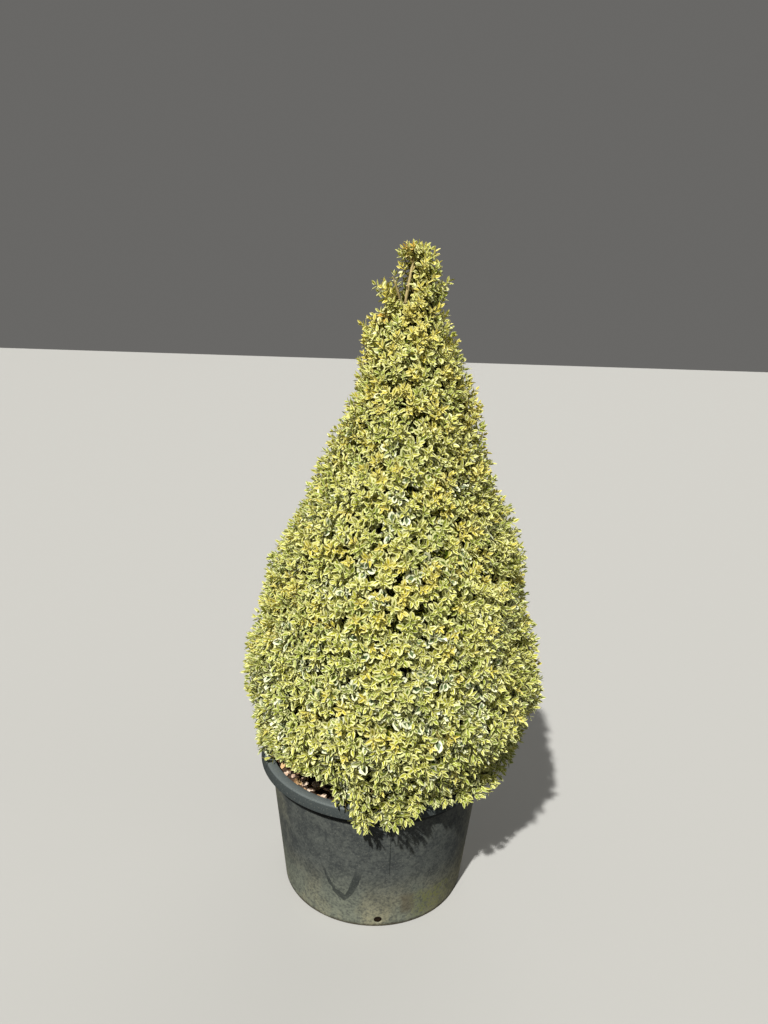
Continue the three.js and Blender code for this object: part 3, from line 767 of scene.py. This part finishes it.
def crown_reach(azimuth, height):
    """How far the lumpy clipped surface is from the crown's axis."""
    reach = value_at(CROWN_REACH, height)
    swell = math.sin(3 * azimuth + height / 0.055) + 0.7 * math.sin(5 * azimuth - height / 0.034)
    swell += 0.5 * math.sin(8 * azimuth + height / 0.021)
    total = reach + LUMPS * swell * min(reach / 0.150, 1)
    for middle, width, level, depth, lobe in LOBES:
        away = (math.degrees(azimuth) - middle + 180) % 360 - 180
        total += lobe * math.exp(-((away / width) ** 2) - ((height - level) / depth) ** 2)
    return total


def shoots(area, full_reach, rises, draw):
    """Shoot after shoot up the spiral: its tip, direction, outward direction and size."""
    azimuth, height = 0.0, TWIG_START
    jitter = min(1.3 * math.sqrt(area / TWIG_AREA), 1)
    while height < CROWN_TOP - 0.010:
        reach = max(value_at(CROWN_REACH, height), 0.030)
        height += area * min(reach / full_reach, 1) / (2 * math.pi * reach)
        azimuth += GOLDEN_TURN
        turn = azimuth + (next(draw) - 0.5) * TURN_CHANCE * jitter
        hem = value_at(HEM, (math.degrees(turn) + 180) % 360 - 180)
        level = max(height + (next(draw) - 0.5) * LEVEL_CHANCE * jitter, hem)
        rise = value_at(rises, level) + (next(draw) - 0.5) * RISE_CHANCE
        sway = (next(draw) - 0.5) * SWAY_CHANCE
        outward = outward_at(turn)
        direction = (outward + UP.cross(outward) * sway + UP * rise).normalized()
        size = SIZE_LEAST + SIZE_CHANCE * next(draw)
        tip = outward * crown_reach(turn, level) + UP * level
        tip.x += crown_axis(level)
        yield tip, direction, outward, size


def from_line(point, start, end):
    """How far a point is from the line between two others."""
    run = end - start
    share = min(max((point - start).dot(run) / run.length_squared, 0), 1)
    return (point - start - run * share).length


def is_clear(point):
    """True if foliage may be at a point: outside the container, the pit and the leader's gap."""
    from_axis = math.hypot(point.x, point.y)
    if point.z < POT_HEIGHT + POT_CLEARANCE and from_axis < RIM_RADIUS + RIM_CLEARANCE:
        return False
    if from_line(point, PIT_START, PIT_END) < PIT_RADIUS:
        return False
    if GAP_LOW < point.z < GAP_HIGH:
        side = point - trunk_middle(point.z)
        return side.y > GAP_BACK or abs(side.x) > GAP_HALF_WIDTH
    return True


def is_sparse(point):
    """True where only a few leaves stand against the sky, left of the bare leader."""
    if not SPARSE_LOW < point.z < SPARSE_HIGH:
        return False
    return point.x < trunk_middle(min(point.z, TRUNK_TIP.z)).x - SPARSE_SIDE


def curve(start, bend, end, steps):
    """Points on a quadratic curve."""
    shares = [i / steps for i in range(steps + 1)]
    return [start * (1 - s) ** 2 + bend * 2 * s * (1 - s) + end * s * s for s in shares]


def nearest(points):
    """A tree that finds the nearest of some points."""
    found = kdtree.KDTree(len(points))
    for i, point in enumerate(points):
        found.insert(point, i)
    found.balance()
    return found


boughs = []
knots = []  # places on boughs that shoots may leave from
for tip, direction, *_ in shoots(TWIG_AREA, FULL_REACH, TWIG_RISE, seeded(7)):
    if tip.z > BOUGH_TOP:
        continue
    root = tip - direction * TWIG_LENGTH
    end = tip - direction * TWIG_LENGTH * TWIG_BARE
    across = math.hypot(root.x - trunk_middle(root.z).x, root.y)
    foot_height = min(max(root.z - BOUGH_FALL * across, BOUGH_FOOT_LOW), BOUGH_FOOT_HIGH)
    foot = trunk_middle(foot_height)
    arch = BOUGH_ARCH if root.z > LOW_LEVEL else LOW_ARCH
    path = curve(foot, foot.lerp(root, 0.5) + UP * (arch * across), root, BOUGH_STEPS) + [end]
    thick = BOUGH_RADIUS + BOUGH_SWELL * across
    radii = [thick * (1 - 0.75 * (k / BOUGH_STEPS) ** 0.7) for k in range(BOUGH_STEPS)]
    boughs.append(list(zip(path, radii + [0.0013, 0.0010])))
    knots += [path[-3], path[-2], root.lerp(end, 0.4), root.lerp(end, 0.75)]
for foot, top in SHOOTS:
    path = curve(foot, foot.lerp(top, 0.5) + Vector((0.002, -0.003, 0)), top, 5)
    radii = [0.0030 - 0.0004 * k for k in range(6)]
    boughs.append([(trunk_middle(1.170), 0.0038), *zip(path, radii)])
    knots += path
forks = nearest(knots)


def kind_of(tip, draw):
    """Which kind of spray grows at a tip, in patches over the crown."""
    if next(draw) < BRONZED_SHARE or (tip - BRONZED).length < BRONZED_RADIUS:
        return "bronze"
    grey = next(draw) + PATCH_STRENGTH * noise.noise(tip * PATCH_SCALE)
    grey += GREY_FALL * (GREY_LEVEL - tip.z)
    if grey > SAGE_FROM and tip.z < SAGE_TOP:
        return "sage"
    if grey > LIME_FROM:
        return "lime"
    return "cream" if grey > CREAM_FROM else "gold"


def mass_at(tip):
    """The mass of foliage that a tip belongs to."""
    return next(name for name, top in MASSES if tip.z < top)


twigs = {name: [] for name, top in MASSES}
tufts = []
for tip, direction, *_ in shoots(TUFT_AREA, ANY_REACH, SPRAY_RISE, seeded(19)):
    root = tip - direction * TUFT_LENGTH
    if not is_clear(root) or is_sparse(tip):
        continue
    knot = forks.find(root - direction * LOOK_BACK)[0]
    bend = root - direction * 0.4 * (root - knot).length
    twigs[mass_at(tip)].append(list(zip(curve(knot, bend, root, 3), TUFT_RADII)))
    tufts.append((tip, root))
middles = nearest([tip for tip, root in tufts])

sprays = []  # the mass, kind, foot, heading, turn and scale of each
draw = seeded(34)
for area, least, most in LAYERS:
    for tip, direction, outward, size in shoots(area, ANY_REACH, SPRAY_RISE, draw):
        name = mass_at(tip)
        depth = least + (most - least) * next(draw) ** 1.5
        scatter = Vector([next(draw) - 0.5 for _ in range(3)])
        kind = "shaded" if least else kind_of(tip, draw)
        turn = next(draw) * 2 * math.pi
        scale = size * (SIZE_LOW - SIZE_FALL * (tip.z - POT_HEIGHT))
        luck = next(draw)
        if name == "leader_sprays" and (luck < LEADER_SKIPPED or least):
            continue
        if is_sparse(tip) and luck < SPARSE_SKIPPED:
            continue
        heading = (direction + scatter * 0.8).normalized()
        if not least:
            middle, number, away = middles.find(tip)
            root = tufts[number][1]
            tip = middle.lerp(tip, TUFT_SPREAD)
            depth += TUFT_SLOPE * min(away / TUFT_REACH, 1.2) ** 2
            heading = ((tip - root).normalized() + direction * 0.4 + scatter * 0.6).normalized()
        tip = tip - outward * depth
        base = tip - heading * SPRAY_LENGTH * scale
        if not all(is_clear(base.lerp(tip, share)) for share in (0, 0.5, 0.8, 1)):
            continue
        if least:
            root = forks.find(base - heading * LOOK_BACK)[0]
        twigs[name].append(list(zip((root, base, base.lerp(tip, 0.9)), SPRAY_TWIG_RADII)))
        sprays.append((name, kind, base, heading, turn, scale))
for k in range(TIP_SPRAYS):
    rise = 0.25 + 0.7 * (k + 0.5) / TIP_SPRAYS
    turn = k * GOLDEN_TURN
    flat = math.sqrt(1 - rise * rise)
    heading = Vector((flat * math.cos(turn), flat * math.sin(turn), rise))
    if rise < TIP_OPEN and heading.y < TIP_FRONT:
        continue
    kind = "bronze" if heading.y < TIP_FRONT and heading.x < 0 else kind_of(TRUNK_TIP, draw)
    path = (TRUNK_TIP, TRUNK_TIP + heading * TIP_TWIG)
    twigs["leader_sprays"].append(list(zip(path, SPRAY_TWIG_RADII[::2])))
    sprays.append(("leader_sprays", kind, TRUNK_TIP, heading, turn, TIP_SCALE))

twig_bark, shader, place = start_material("twig_bark")
tone = place.grain(90, 2).ramp(0.35, 0.65).paint(rgb(92, 84, 44), rgb(140, 122, 70))
feed(shader, Base_Color=tone, Roughness=0.75)
bough_piece = grow("boughs", limbs, lines_mesh(boughs), Sides=BOUGH_SIDES, Bark=bark)
bough_piece.data.shade_smooth()
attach(bough_piece, "root")
for name, lines in twigs.items():
    piece = grow(name + "_twigs", limbs, lines_mesh(lines), Sides=TWIG_SIDES, Bark=twig_bark)
    piece.data.shade_smooth()
    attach(piece, "root")
    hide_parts(name)


# The leaves. Small leathery box leaves in opposite pairs, each with a cream or yellow edge round a
# green heart. Young tips are small yellow rosettes; older leaves are larger, paler and greyer.

# A leaf is its rim's corners and its heart's, as shares of its width and length, and the faces of
# its edge and of its heart. The heart's width is set for each leaf.
BROAD_LEAF = (
    [
        (0, 0), (0.30, 0.22), (0.5, 0.55), (0.36, 0.86),
        (0, 1), (-0.36, 0.86), (-0.5, 0.55), (-0.30, 0.22),
    ],
    [(0, 0.13), (1, 0.5), (0, 0.86), (-1, 0.5)],
    [
        (0, 1, 8), (8, 1, 9), (1, 2, 9), (2, 3, 9), (9, 3, 10), (3, 4, 10),
        (0, 8, 7), (8, 11, 7), (7, 11, 6), (6, 11, 5), (11, 10, 5), (5, 10, 4),
    ],
    [(8, 9, 10), (8, 10, 11)],
)
SLIM_LEAF = (
    [(0, 0), (0.42, 0.34), (0.34, 0.72), (0, 1), (-0.34, 0.72), (-0.42, 0.34)],
    [(1, 0.5), (-1, 0.5)],
    [(0, 1, 6), (1, 2, 6), (2, 3, 6), (0, 7, 5), (7, 4, 5), (7, 3, 4)],
    [(0, 6, 3), (0, 3, 7)],
)
# Each kind of spray: how many pairs of grown and of young leaves, their lengths in metres, and the
# share of a leaf's width that its heart takes; then the colours of the grown leaves' hearts and
# edges, and of the young leaves' hearts and edges. Shaded sprays have no young leaves.
SPRAYS = {
    "cream": (
        (3, 3, 0.0190, 0.0160, 0.44),
        ((130, 136, 34), (225, 224, 158), (180, 181, 56), (229, 228, 160)),
    ),
    "gold": (
        (3, 3, 0.0182, 0.0156, 0.40),
        ((146, 143, 30), (223, 215, 134), (196, 185, 54), (229, 221, 140)),
    ),
    "lime": (
        (3, 3, 0.0194, 0.0162, 0.50),
        ((98, 115, 36), (213, 216, 152), (150, 162, 52), (218, 219, 150)),
    ),
    "sage": (
        (4, 2, 0.0204, 0.0156, 0.58),
        ((92, 111, 72), (232, 234, 198), (142, 154, 72), (229, 229, 174)),
    ),
    "bronze": (
        (2, 3, 0.0168, 0.0150, 0.45),
        ((150, 130, 34), (224, 206, 116), (212, 170, 58), (231, 204, 110)),
    ),
    "shaded": (
        (3, 0, 0.0212, 0, 0.60),
        ((55, 68, 8), (138, 138, 44), (0, 0, 0), (0, 0, 0)),
    ),
}
VARIANTS = 12  # different sprays of each kind
GROWN_LOW, GROWN_HIGH = 0.003, 0.027  # where grown leaves stand on a spray
YOUNG_LOW, YOUNG_HIGH = 0.028, 0.039
GROWN_LEAN, GROWN_LIFT = 74, 14  # degrees from the stem for the lowest pair, and less for the top
YOUNG_LEAN, YOUNG_LIFT = 62, 38
LEAF_WIDTH, YOUNG_SLIMMING = 0.52, 0.08  # as shares of a leaf's length
LEAF_SURFACE = {"Roughness": 0.42, "Specular_IOR_Level": 0.45}
PARTS = ["grown_heart", "grown_edge", "young_heart", "young_edge"]


def spray(pairs, young_pairs, length, young_length, heart, draw):
    """A leafy shoot along +Z, each pair turned a quarter from the one below.

    Chance turns, leans, rolls, sizes, folds and droops each leaf a little.
    """
    rows = []  # each pair's place on the stem, lean, length, and 1 for young leaves
    for k in range(pairs):
        share = k / pairs
        place = GROWN_LOW + (GROWN_HIGH - GROWN_LOW) * share
        rows.append((place, GROWN_LEAN - GROWN_LIFT * share, length, 0))
    for k in range(young_pairs):
        share = k / (young_pairs - 1)
        place = YOUNG_LOW + (YOUNG_HIGH - YOUNG_LOW) * share
        rows.append((place, YOUNG_LEAN - YOUNG_LIFT * share, young_length * (1 - 0.2 * share), 1))
    corners, faces, parts = [], [], []
    start = 2 * math.pi * next(draw)
    for k, (place, lean, long, young) in enumerate(rows):
        for side in (0, 1):
            turn = start + math.pi * (k / 2 + side) + 0.6 * (next(draw) - 0.5)
            tilt = math.radians(lean + 26 * (next(draw) - 0.5))
            out = outward_at(turn)
            along = out * math.sin(tilt) + UP * math.cos(tilt)
            upper = UP * math.sin(tilt) - out * math.cos(tilt)
            upper = Quaternion(along, 0.9 * (next(draw) - 0.5)) @ upper
            across = along.cross(upper)
            reach = long * (0.85 + 0.3 * next(draw))
            width = reach * (LEAF_WIDTH - YOUNG_SLIMMING * young + 0.1 * next(draw))
            fold, droop = 0.1 + 0.35 * next(draw), 0.35 * (next(draw) - 0.3)
            half = heart * (0.8 + 0.4 * next(draw)) / 2
            is_broad = pairs > 2 and young_pairs and not young
            rim, core, edge_faces, heart_faces = BROAD_LEAF if is_broad else SLIM_LEAF
            first = len(corners)
            for u, v in rim + [(half * u, v) for u, v in core]:
                lift = upper * (fold * abs(u) * width - droop * v * v * reach)
                corners.append(UP * place + along * v * reach + across * u * width + lift)
            for number, group in ((2 * young + 1, edge_faces), (2 * young, heart_faces)):
                faces += [[first + corner for corner in face] for face in group]
                parts += [number] * len(group)
    mesh = bpy.data.meshes.new("spray")
    mesh.from_pydata(corners, [], faces)
    mesh.attributes.new("part", "INT", "FACE").data.foreach_set("value", parts)
    return mesh


def leaf_tree():
    """Sets sprays from a collection on points, aimed, turned, sized and coloured by part."""
    sap = Sap("Leaf sprays on shoots", Sprays="Collection", **dict.fromkeys(PARTS, "Material"))
    given = sap.given
    values = {"Vector": sap.read("heading", "FLOAT_VECTOR")}
    aimed = sap.node("FunctionNodeAlignRotationToVector", {"axis": "Z"}, values)
    values = {"Axis": (0, 0, 1), "Angle": sap.read("turn")}
    twist = sap.node("FunctionNodeAxisAngleToRotation", {}, values)
    values = {"Rotation": aimed, "Rotate By": twist}
    turned = sap.node("FunctionNodeRotateRotation", {"rotation_space": "LOCAL"}, values)
    values = {"Instance Index": sap.read("pick", "INT"), "Rotation": turned}
    leaves = sap.copies(given["Geometry"], given["Sprays"], Scale=sap.read("scale"), **values)
    for number, part in enumerate(PARTS):
        equal = {"data_type": "INT", "operation": "EQUAL"}
        chosen = sap.node("FunctionNodeCompare", equal, {2: sap.read("part", "INT"), 3: number})
        values = {"Geometry": leaves, "Selection": chosen, "Material": given[part]}
        leaves = sap.node("GeometryNodeSetMaterial", {}, values)
    return sap.done(leaves)


leafing = leaf_tree()
draw = seeded(5)
for kind, (form, colours) in SPRAYS.items():
    shelf = kept_aside("spray_" + kind, [spray(*form, draw) for _ in range(VARIANTS)])
    finishes = {}
    for part, colour in zip(PARTS, colours):
        finishes[part], shader, place = start_material(f"{kind}_{part}")
        feed(shader, Base_Color=rgb(*colour), **LEAF_SURFACE)
    for name, top in MASSES:
        chosen = [row[2:] for row in sprays if row[:2] == (name, kind)]
        if not chosen:
            continue
        feet, headings, turns, scales = zip(*chosen)
        tips = bpy.data.meshes.new("tips")
        tips.from_pydata(feet, [], [])
        for label, data_type, field, values in (
            ("heading", "FLOAT_VECTOR", "vector", np.array(headings).ravel()),
            ("turn", "FLOAT", "value", turns),
            ("scale", "FLOAT", "value", scales),
            ("pick", "INT", "value", [i % VARIANTS for i in range(len(feet))]),
        ):
            tips.attributes.new(label, data_type, "POINT").data.foreach_set(field, values)
        piece = grow(f"{name}_{kind}_leaves", leafing, tips, Sprays=shelf, **finishes)
        piece.data.shade_flat()
        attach(piece, "root")
        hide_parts(name)
    clear(shelf)


# The studio: a pale floor with nothing on it, a small bright lamp like the sun, high at the left of
# the front, two weak wide ones, dim light from all round, and the camera where the picture was
# taken from, a little tilted, looking down.
CAMERA_PLACE = (0, -1.562, 1.28)
CAMERA_DOWN = math.radians(17.03)
CAMERA_ROLL = math.radians(1.83)
LENS = 29.91
SENSOR = 36
FLOOR_REACH = 9
WORLD_POWER = 0.14
LAMPS = [  # where each shines from, its power, and its spread in degrees
    ("key_lamp", (-0.205, -0.56, 0.70), 4.7, 1.5),
    ("fill_lamp", (0.62, -0.55, 0.55), 0.25, 60),
    ("back_lamp", (0.30, 0.80, 0.50), 0.6, 60),
]

floor_mesh = bpy.data.meshes.new("floor")
corners = [(x * FLOOR_REACH, y * FLOOR_REACH, 0) for x, y in ((-1, -1), (1, -1), (1, 1), (-1, 1))]
floor_mesh.from_pydata(corners, [], [(0, 1, 2, 3)])
floor = link("floor", floor_mesh)
pale, shader, place = start_material("pale_floor")
feed(shader, Base_Color=rgb(180, 180, 178), Roughness=0.9)
floor.data.materials.append(pale)
floor.visible_diffuse = floor.visible_glossy = False  # the plant stood on dark cloth

world = bpy.data.worlds.new("studio")
world.use_nodes = True
background = world.node_tree.nodes["Background"]
background.inputs["Color"].default_value = (1.0, 0.98, 0.94, 1)
background.inputs["Strength"].default_value = WORLD_POWER
bpy.context.scene.world = world
for name, side, power, spread in LAMPS:
    lamp = bpy.data.lights.new(name, "SUN")
    lamp.energy = power
    lamp.angle = math.radians(spread)
    lamp.color = (1.0, 0.98, 0.93)
    stand = link(name, lamp)
    stand.location = Vector(side) * 5
    stand.rotation_euler = Vector(side).to_track_quat("Z", "Y").to_euler()

lens = bpy.data.cameras.new("camera")
lens.lens = LENS
lens.sensor_width = SENSOR
camera = link("camera", lens)
camera.location = CAMERA_PLACE
camera.rotation_euler = (math.pi / 2 - CAMERA_DOWN, 0, 0)
camera.rotation_euler.rotate_axis("Z", CAMERA_ROLL)
bpy.context.scene.camera = camera
bpy.context.scene.view_settings.view_transform = "Standard"
